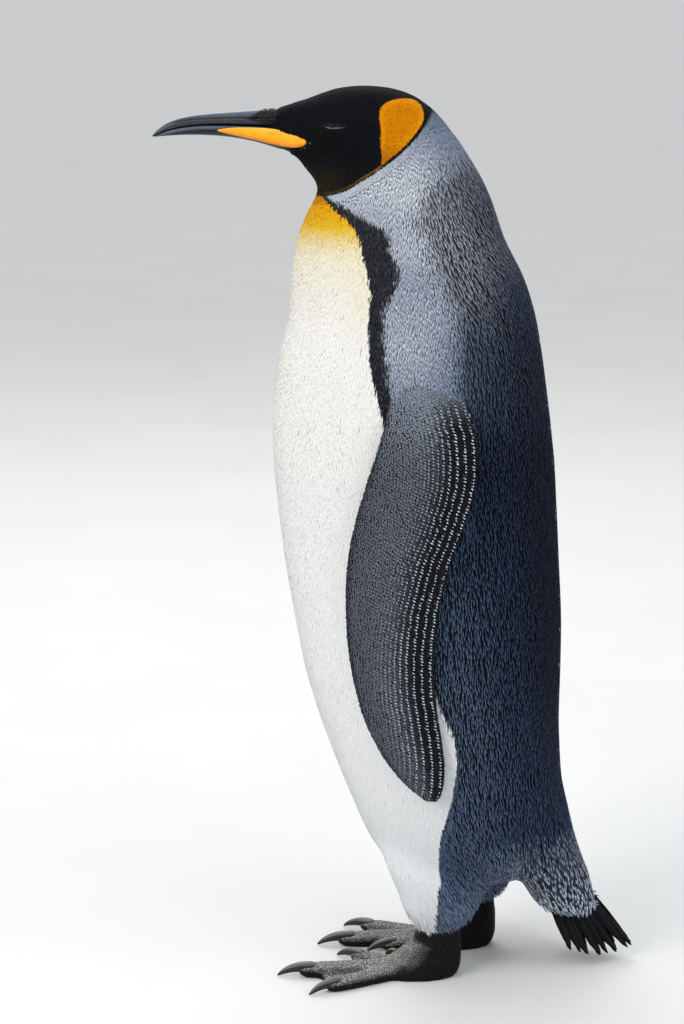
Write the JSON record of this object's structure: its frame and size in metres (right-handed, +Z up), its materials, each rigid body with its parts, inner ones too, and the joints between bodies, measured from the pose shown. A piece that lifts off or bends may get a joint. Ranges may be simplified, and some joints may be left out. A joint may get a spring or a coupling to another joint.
{
  "type": "king penguin",
  "caption": "Life-size king penguin standing at rest, with closed flippers, webbed feet and a long slender bill.",
  "frame": {"origin": "on the floor, under the middle of the bird's outline", "axes": "+Z up, the bird looks along -Y, its left side is on +X"},
  "size_m": [0.2778, 0.4622, 0.851],
  "materials": {
    "head_feathers": "short dense black feathers with an orange patch behind each ear",
    "neck_feathers": "silver grey feathers turning to slate behind, orange on the upper breast",
    "body_feathers": "white belly, slate blue back and a black border between them",
    "flipper_feathers": "tiny scale-like slate feathers with pale dots in rows",
    "leg_feathers": "soft feathers, white in front and blue grey behind",
    "tail_feathers": "stiff narrow black quills under silver tipped coverts",
    "bill_horn": "satin black horn with a bluish sheen",
    "bill_plate": "smooth orange horn plate",
    "eye": "wet dark brown",
    "foot_skin": "dark grey scaly skin",
    "claw_horn": "grey horn"
  },
  "bodies": {
    "root": {"head": "head_feathers", "neck": "neck_feathers", "trunk": "body_feathers", "tail": "tail_feathers", "bill_upper": "bill_horn", "bill_lower": "bill_horn", "bill_plate_left": "bill_plate", "eye_left": "eye", "flipper_left": "flipper_feathers", "leg_left": "leg_feathers", "foot_left": "foot_skin", "claw_left_inner": "claw_horn", "claw_left_middle": "claw_horn", "claw_left_outer": "claw_horn", "claw_left_hallux": "claw_horn", "bill_plate_right": "bill_plate", "eye_right": "eye", "flipper_right": "flipper_feathers", "leg_right": "leg_feathers", "foot_right": "foot_skin", "claw_right_inner": "claw_horn", "claw_right_middle": "claw_horn", "claw_right_outer": "claw_horn", "claw_right_hallux": "claw_horn"}
  },
  "joints": []
}
